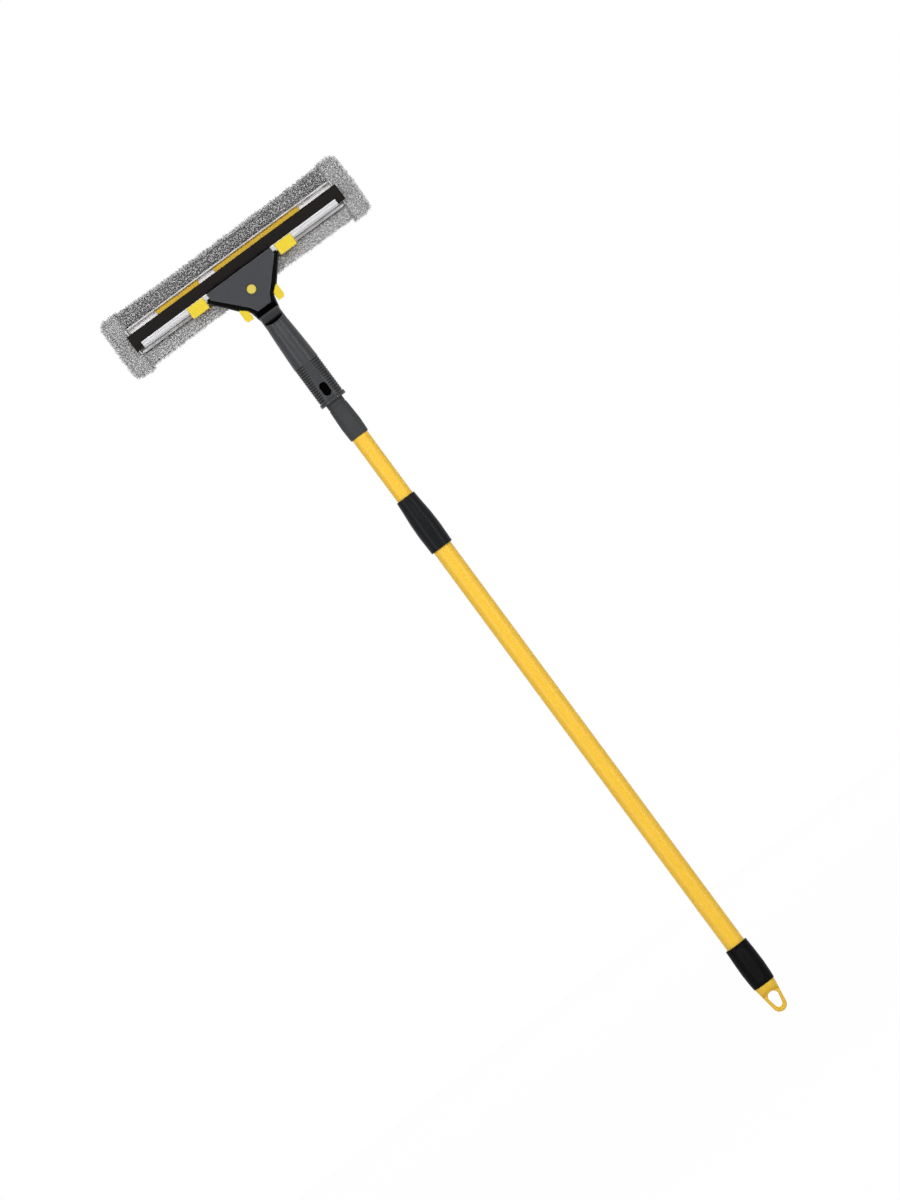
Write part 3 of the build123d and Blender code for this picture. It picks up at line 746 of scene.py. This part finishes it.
# %% [markdown]
# ## Sowing the pile
# The strands stand about a millimetre apart, at random but evenly. So more places are drawn
# than are needed, and one that lies too near an earlier one is dropped. A grid of cells as
# wide as the gap keeps that quick, since only the cells round a place have to be looked at.

# %% Sow the strands
strand_gap = 1.1 * mm
sown_surplus = 1.9
cells_around = [(i, j, k) for i in (-1, 0, 1) for j in (-1, 0, 1) for k in (-1, 0, 1)]


def crowded(cells, cell, point, gap):
    """Whether a place that was kept lies within the gap."""
    for i, j, k in cells_around:
        for x, y, z in cells.get((cell[0] + i, cell[1] + j, cell[2] + k), ()):
            if (x - point[0]) ** 2 + (y - point[1]) ** 2 + (z - point[2]) ** 2 < gap * gap:
                return True
    return False


def thin_out(where, gap):
    """The numbers of the places that are left when none has an earlier one within the gap."""
    cells = {}
    kept = []
    grid = np.floor(where / gap).astype(int)
    for index, (cell, point) in enumerate(zip(map(tuple, grid), where.tolist())):
        if not crowded(cells, cell, point, gap):
            cells.setdefault(cell, []).append(point)
            kept.append(index)
    return kept


def sow(mesh, seed, keep):
    """Evenly scattered points and their normals on a mesh, where keep allows."""
    mesh.calc_loop_triangles()
    corners = np.empty(len(mesh.loop_triangles) * 3, int)
    mesh.loop_triangles.foreach_get("vertices", corners)
    corners = corners.reshape(-1, 3)
    points, normals = points_of(mesh), points_of(mesh, "normal")
    a, b, c = (points[corners[:, index]] for index in range(3))
    areas = np.linalg.norm(np.cross(b - a, c - a), axis=1) / 2
    draws = np.random.default_rng(seed)
    count = int(areas.sum() / strand_gap**2 * sown_surplus)
    picked = draws.choice(len(areas), count, p=areas / areas.sum())
    u, v = draws.random((2, count))
    flip = u + v > 1
    u[flip], v[flip] = 1 - u[flip], 1 - v[flip]
    weights = np.stack([1 - u - v, u, v], axis=1)
    where = (points[corners[picked]] * weights[:, :, None]).sum(axis=1)
    facing = (normals[corners[picked]] * weights[:, :, None]).sum(axis=1)
    facing /= np.linalg.norm(facing, axis=1, keepdims=True)
    good = keep(where, facing)
    where, facing = where[good], facing[good]
    kept = thin_out(where, strand_gap)
    return where[kept], facing[kept]


print("strands on a square centimetre: up to", round((10 * mm / strand_gap) ** 2))

# %% [markdown]
# ## Growing the pile
# The tips gather into curls, each round a centre of its own, with dark gaps between, as the
# real pile has. Each strand is a three-sided tapering tube with a closed root and tip, so
# tens of thousands of them stay light. A few strays stand out further and make the edge
# ragged.

# %% Grow the strands
strand_length, length_spread = 5.0 * mm, (0.7, 1.15)
strand_radius, radius_spread = 0.55 * mm, (0.8, 1.2)
strand_lean, strand_taper = 0.4, 0.45
elbow_share, elbow_stray = 0.6, 0.45 * mm
curl_gap, curl_lean = 2.9 * mm, 1.1 * mm
curl_pull = 0.62
stray_share = 0.05
curl_share, own_share = 0.7, 0.3
ring_places = (0.0, 0.45, 0.8)


def curl_tips(tips, draws):
    """Gathers tips round scattered centres, and says how pale each strand's curl is."""
    centres = tips[thin_out(tips, curl_gap)]
    centres = centres + draws.normal(0, curl_lean, centres.shape)
    tree = kdtree.KDTree(len(centres))
    for index, centre in enumerate(centres):
        tree.insert(centre, index)
    tree.balance()
    nearest = np.array([tree.find(tip)[1] for tip in tips])
    pull = np.where(draws.random((len(tips), 1)) < stray_share, 0.0, curl_pull)
    return tips + (centres[nearest] - tips) * pull, draws.random(len(centres))[nearest]


def grow(where, facing, seed):
    """The points of a strand at each root, and how pale each strand is."""
    draws = np.random.default_rng(seed)
    count = len(where)
    length = strand_length * draws.uniform(*length_spread, (count, 1))
    lean = draws.normal(0, strand_lean, (count, 3))
    lean -= facing * (lean * facing).sum(axis=1, keepdims=True)
    rise = facing + lean
    rise /= np.linalg.norm(rise, axis=1, keepdims=True)
    tips, shades = curl_tips(where + rise * length, draws)
    elbow = where + facing * length * elbow_share + draws.normal(0, elbow_stray, (count, 3))
    side = np.cross(facing, draws.normal(0, 1, (count, 3)))
    side /= np.linalg.norm(side, axis=1, keepdims=True)
    other = np.cross(facing, side)
    radius = strand_radius * draws.uniform(*radius_spread, (count, 1))
    rings = []
    for place in ring_places:
        middle = where * (1 - place) ** 2 + elbow * 2 * place * (1 - place) + tips * place**2
        size = radius * (1 - strand_taper * place)
        for turn in range(3):
            angle = turn * 2 * math.pi / 3
            rings.append(middle + (side * math.cos(angle) + other * math.sin(angle)) * size)
    rings.append(tips)
    return np.stack(rings, axis=1), shades * curl_share + draws.random(count) * own_share


def strand_faces():
    """The faces of one strand, by the number of each of its points."""
    faces = [(2, 1, 0)]
    last = 3 * (len(ring_places) - 1)
    for start in range(0, last, 3):
        for turn in range(3):
            a, b = start + turn, start + (turn + 1) % 3
            faces += [(a, b, b + 3), (a, b + 3, a + 3)]
    for turn in range(3):
        faces.append((last + turn, last + (turn + 1) % 3, last + 3))
    return np.array(faces)


print("faces of one strand:", len(strand_faces()))

# %% [markdown]
# ## One mesh for the whole pile
# Thousands of objects would be slow, so all strands of a part go into one mesh, written from
# arrays. Each point remembers how high it lies in the pile and how pale its curl is, in an
# attribute that the fibre's finish reads.


# %% Build the pile
def pile_mesh(name, vertices, shades):
    """All strands as one mesh, with each point's height in the pile and its strand's shade."""
    count, per_strand = vertices.shape[:2]
    shift = np.arange(count)[:, None, None] * per_strand
    faces = (strand_faces()[None] + shift).reshape(-1, 3)
    mesh = bpy.data.meshes.new(name)
    mesh.vertices.add(count * per_strand)
    mesh.vertices.foreach_set("co", vertices.astype(np.float32).ravel())
    mesh.loops.add(faces.size)
    mesh.loops.foreach_set("vertex_index", faces.ravel().astype(np.int32))
    mesh.polygons.add(len(faces))
    mesh.polygons.foreach_set("loop_start", np.arange(0, faces.size, 3, dtype=np.int32))
    mesh.update(calc_edges=True)
    heights = [place for place in ring_places for turn in range(3)] + [1.0]
    write_fibre(mesh, np.tile(heights, count), np.repeat(shades, per_strand))
    return mesh


def write_fibre(mesh, heights, shades):
    """Stores height in the pile and shade of the strand as a colour on each point."""
    colours = np.ones((len(mesh.vertices), 4), np.float32)
    colours[:, 0], colours[:, 1], colours[:, 2] = heights, shades, 0
    layer = mesh.color_attributes.new("fibre", "FLOAT_COLOR", "POINT")
    layer.data.foreach_set("color", colours.ravel())


print("rings of one strand:", len(ring_places))

# %% [markdown]
# ## Fibre finish
# The strands are grey microfibre: dark down at the root with painted shade, where little light
# gets, and paler at the tip, each curl a slightly different grey. Below the carrier and at the
# ends it is paler. A soft sheen gives the velvety edge.

# %% Plush finish
pale_below = 14 * mm
pale_beyond = 148 * mm
pale_soft = 4 * mm
paler_root, paler_rise = 0.36, 0.5
curl_weight, patch_weight, patch_offset = 1.3, 0.7, 0.35
patch_scale = 16
seam_half, seam_dark = 1.2 * mm, 0.5
sheen = 0.5


def plush_fibre():
    """Grey microfibre, read from the pile's own attribute."""
    finish = Finish("plush_fibre", Roughness=0.9, Specular_IOR_Level=0.1)
    finish.feed("Sheen Weight", sheen)
    finish.feed("Sheen Roughness", 0.5)
    stored = finish.node("ShaderNodeAttribute", {"attribute_name": "fibre"})
    height = finish.node("ShaderNodeSeparateColor", None, {"Color": stored})
    shade = height.output("Green")
    lift = finish.rise(height, 0.1, 0.9)
    # the dark root end of both greys is painted shade
    light = finish.mix(lift, linear(150, 149, 150), linear(255, 254, 255))
    dark = finish.mix(lift, linear(66, 65, 67), linear(232, 230, 232))
    x, _, z = finish.axes()
    patches = shade * curl_weight + finish.noise(patch_scale, 3) * patch_weight - patch_offset
    mixed = finish.mix(finish.clamped(patches), dark, light)
    lower = finish.rise(z - pivot.z, pale_below + pale_soft, pale_below - pale_soft)
    ends = finish.rise(abs(x), pale_beyond, pale_beyond + pale_soft)
    paler_share = finish.maths("MAXIMUM", lower, ends) * (paler_root + lift * paler_rise)
    mixed = finish.mix(paler_share, mixed, linear(254, 253, 254))
    seam = finish.within(abs(x), wrap_high.x - seam_half, wrap_high.x + seam_half, seam_half)
    finish.feed("Base Color", finish.mix(seam * seam_dark, mixed, linear(70, 69, 71)))
    return finish


plush = plush_fibre()
print("plush nodes:", len(plush.tree.nodes))

# %% [markdown]
# ## The three parts of the sleeve
# The sleeve has a main panel and an end pocket on each side, sewn together at two seams. Each
# takes the place of its plain CAD pad and rides on the head. No pile grows in the slot or
# between the parts.

# %% Make the sleeve
soft_seed, seed_step = 7, 10
core_shade = 0.4
end_facing = 0.8


def outside_only(where, facing):
    """Keeps strands off the carrier's slot and off the ends that meet at the seams."""
    ends = (np.abs(facing[:, 0]) > end_facing) & near_seam(where)
    return ~inside_slot(where) & ~ends


def plush_piece(node, name, seed):
    """One part of the sleeve, in place of its CAD pad."""
    core = padded_core(node, name)
    swell(core)
    sink(core)
    where, facing = sow(core.data, seed, outside_only)
    vertices, shades = grow(where, facing, seed + 1)
    core_points = len(core.data.vertices)
    write_fibre(core.data, np.zeros(core_points), np.full(core_points, core_shade))
    strands = bpy.data.objects.new(name + "_pile", pile_mesh(name, vertices, shades))
    bpy.context.scene.collection.objects.link(strands)
    core.data.materials.clear()
    core.data.materials.append(plush.material)
    strands.data.materials.append(plush.material)
    only(core)
    strands.select_set(True)
    bpy.ops.object.join()
    bpy.ops.object.shade_smooth()
    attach(core, "head")
    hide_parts(node)
    print(name, "strands:", len(where), "faces:", len(core.data.polygons))


plush_piece("pad_wrap", "sleeve_wrap", soft_seed)
plush_piece("pad_pocket_left", "sleeve_pocket_left", soft_seed + seed_step)
plush_piece("pad_pocket_right", "sleeve_pocket_right", soft_seed + 2 * seed_step)

# %% [markdown]
# ## The hem of the opening
# The cover's opening is turned in and sewn down. Its lower hem is a smooth band of backing
# cloth that shows below the channel, with a row of dark stitches under it. The other three
# sides show only a thin rolled edge. Its cloth is woven and nearly white, with some grime.

# %% Hem cloth
thread_scale, grime_scale = 1700, 60
thread_bump, thread_depth = 0.4, 0.15 * mm


def hem_cloth():
    """Woven backing cloth."""
    finish = Finish("hem_cloth", Roughness=0.85, Specular_IOR_Level=0.2)
    threads = finish.noise(thread_scale, 2, 0.6, (0.25, 1, 1))
    darkening = finish.rise(finish.noise(grime_scale, 3), 0.5, 0.8)
    cloth = finish.mix(threads, linear(220, 218, 218), linear(250, 248, 248))
    finish.feed("Base Color", finish.mix(darkening, cloth, linear(178, 176, 177)))
    finish.bump(threads, thread_bump, thread_depth)
    return finish


hem_finish = hem_cloth()
print("hem cloth nodes:", len(hem_finish.tree.nodes))

# %% [markdown]
# Each side of the hem is a cube drawn to size, cut along its length so that it can rumple,
# shaken a little and rounded by a subdivision surface.

# %% Sew the hem
window_low, window_high = 15.4 * mm, 52.2 * mm
hem_height, hem_thickness = 4.4 * mm, 1.6 * mm
hem_lead, hem_overlap = 0.4 * mm, 0.6 * mm
roll_width, roll_proud = 2.0 * mm, 3.0 * mm
cut_pitch, fewest_cuts = 7.0 * mm, 2
rumple = 0.22 * mm


def pick_edges(piece, wanted):
    """In edit mode, selects only the edges whose two ends pass a test."""
    bpy.ops.mesh.select_all(action="DESELECT")
    bpy.ops.mesh.select_mode(type="EDGE")
    mesh = bmesh.from_edit_mesh(piece.data)
    for edge in mesh.edges:
        start, end = (point.co for point in edge.verts)
        edge.select_set(wanted(start, end))
    bmesh.update_edit_mesh(piece.data)


def hem(name, low, high, seed):
    """A soft flat band between two corners, cut along its longest side."""
    low, high = Vector(low), Vector(high)
    size = high - low
    bpy.ops.object.select_all(action="DESELECT")
    bpy.ops.mesh.primitive_cube_add(size=1, location=(low + high) / 2, scale=size)
    band = bpy.context.object
    band.name = name
    bpy.ops.object.transform_apply(location=True, rotation=True, scale=True)
    longest = max(range(3), key=lambda axis: size[axis])
    bpy.ops.object.mode_set(mode="EDIT")
    pick_edges(band, lambda start, end: abs(start[longest] - end[longest]) > size[longest] / 2)
    bpy.ops.mesh.subdivide(number_cuts=max(fewest_cuts, int(size[longest] / cut_pitch)))
    bpy.ops.mesh.select_all(action="SELECT")
    bpy.ops.transform.vertex_random(offset=rumple, seed=seed)
    bpy.ops.object.mode_set(mode="OBJECT")
    rounding = band.modifiers.new("Rounding", "SUBSURF")
    rounding.levels = rounding.render_levels = 2
    bpy.ops.object.modifier_apply(modifier="Rounding")
    bpy.ops.object.shade_smooth()
    band.data.materials.append(hem_finish.material)
    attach(band, "head")
    print(name, "faces:", len(band.data.polygons))


hem_front = wrap_low.y - hem_lead
hem_back = hem_front + hem_thickness
roll_front = hem_front - roll_proud
left, right = wrap_low.x - hem_overlap, wrap_high.x + hem_overlap
bottom, top = pivot.z + window_low, pivot.z + window_high
hem("hem_lower", (left, hem_front, bottom), (right, hem_back, bottom + hem_height), 1)
hem("hem_upper", (left, hem_front, top - roll_width), (right, hem_back, top), 2)
hem("hem_left", (left - roll_width, roll_front, bottom), (left, hem_back, top), 3)
hem("hem_right", (right, roll_front, bottom), (right + roll_width, hem_back, top), 4)

# %% [markdown]
# The stitches are one thread bump, made from a small sphere, and an Array modifier that
# repeats it along the hem. They are dark twisted thread, half sunk in the cloth.

# %% Stitch the hem
stitch_pitch = 2.6 * mm
stitch_half = (0.85 * mm, 0.4 * mm, 0.35 * mm)
stitch_sides, stitch_rings = 8, 6
stitch_sunk, stitch_below = 0.1 * mm, 0.2 * mm
twist_scale = 2600


def stitch_thread():
    """Dark sewing thread."""
    finish = Finish("stitch_thread", Roughness=0.8, Specular_IOR_Level=0.2)
    twist = finish.noise(twist_scale, 1, 0.5, (1, 0.4, 0.4))
    finish.feed("Base Color", finish.mix(twist, linear(34, 33, 34), linear(72, 70, 71)))
    finish.bump(twist, 0.5, 0.1 * mm)
    return finish


bpy.ops.object.select_all(action="DESELECT")
bpy.ops.mesh.primitive_uv_sphere_add(
    segments=stitch_sides,
    ring_count=stitch_rings,
    radius=1,
    location=(left + stitch_pitch, hem_front + stitch_sunk, bottom - stitch_below),
    scale=stitch_half,
)
stitches = bpy.context.object
stitches.name = "hem_stitches"
bpy.ops.object.transform_apply(location=True, rotation=True, scale=True)
row = stitches.modifiers.new("Row", "ARRAY")
row.count = int((right - left) / stitch_pitch) - 1
row.use_relative_offset = False
row.use_constant_offset = True
row.constant_offset_displace = (stitch_pitch, 0, 0)
bpy.ops.object.modifier_apply(modifier="Row")
bpy.ops.object.shade_smooth()
stitches.data.materials.append(stitch_thread().material)
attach(stitches, "head")
print("stitches:", len(stitches.data.polygons) // (stitch_sides * stitch_rings))

# %% [markdown]
# ## The end sleeve's thumb panel
# The black end sleeve has a long oval panel moulded on its front, a hair proud of the rest.
# It has to follow the sleeve's curve, so it is cut from the sleeve itself, with an oval peg as
# the cutter. The oval is a circle whose halves are pulled apart.

# %% Make the cutter
panel_half_width = 5.6 * mm
panel_margin = 4.0 * mm
oval_corners = 40
sleeve_low, sleeve_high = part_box("end_sleeve")


def oval_peg():
    """A long oval bar that points to the front, through the sleeve's front wall."""
    middle = (sleeve_low.z + sleeve_high.z) / 2
    reach = (sleeve_high.z - sleeve_low.z) / 2 - panel_margin - panel_half_width
    bpy.ops.object.select_all(action="DESELECT")
    bpy.ops.mesh.primitive_cylinder_add(
        vertices=oval_corners,
        radius=panel_half_width,
        depth=sleeve_high.x,
        location=(0, -sleeve_high.x, middle),
        rotation=(math.pi / 2, 0, 0),
    )
    peg = bpy.context.object
    bpy.ops.object.transform_apply(location=True, rotation=True, scale=True)
    bpy.ops.object.mode_set(mode="EDIT")
    for side in (-1, 1):
        pick_edges(peg, lambda start, end: min(start.z * side, end.z * side) > middle * side)
        bpy.ops.transform.translate(value=(0, 0, side * reach))
    bpy.ops.object.mode_set(mode="OBJECT")
    return peg


peg = oval_peg()
print("oval:", [round(side / mm, 1) for side in peg.dimensions], "mm")

# %% [markdown]
# A copy of the sleeve is grown sideways by the panel's height, and a Boolean keeps only what
# lies inside the peg. A small bevel softens the panel's rim.

# %% Raise the panel
panel_proud = 0.35 * mm
panel_edge = 0.15 * mm
bevel_angle, smooth_angle = math.radians(50), math.radians(35)
panel = merged_copy("end_sleeve", "end_sleeve_panel")
grown = 1 + panel_proud / sleeve_high.x
bpy.ops.object.mode_set(mode="EDIT")
bpy.ops.mesh.select_all(action="SELECT")
bpy.ops.transform.resize(value=(grown, grown, 1), center_override=(0, 0, 0))
bpy.ops.object.mode_set(mode="OBJECT")
cut = panel.modifiers.new("Cut", "BOOLEAN")
cut.operation = "INTERSECT"
cut.object = peg
bpy.ops.object.modifier_apply(modifier="Cut")
soften = panel.modifiers.new("Soften", "BEVEL")
soften.width = panel_edge
soften.segments = 2
soften.limit_method = "ANGLE"
soften.angle_limit = bevel_angle
bpy.ops.object.modifier_apply(modifier="Soften")
bpy.ops.object.shade_smooth_by_angle(angle=smooth_angle)
bpy.data.objects.remove(peg)
panel.data.materials.clear()
panel.data.materials.append(moulded("panel_moulding", linear(21, 21, 22), 0.4, 0.04).material)
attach(panel, "pole_base")
print("panel faces:", len(panel.data.polygons))

# %% [markdown]
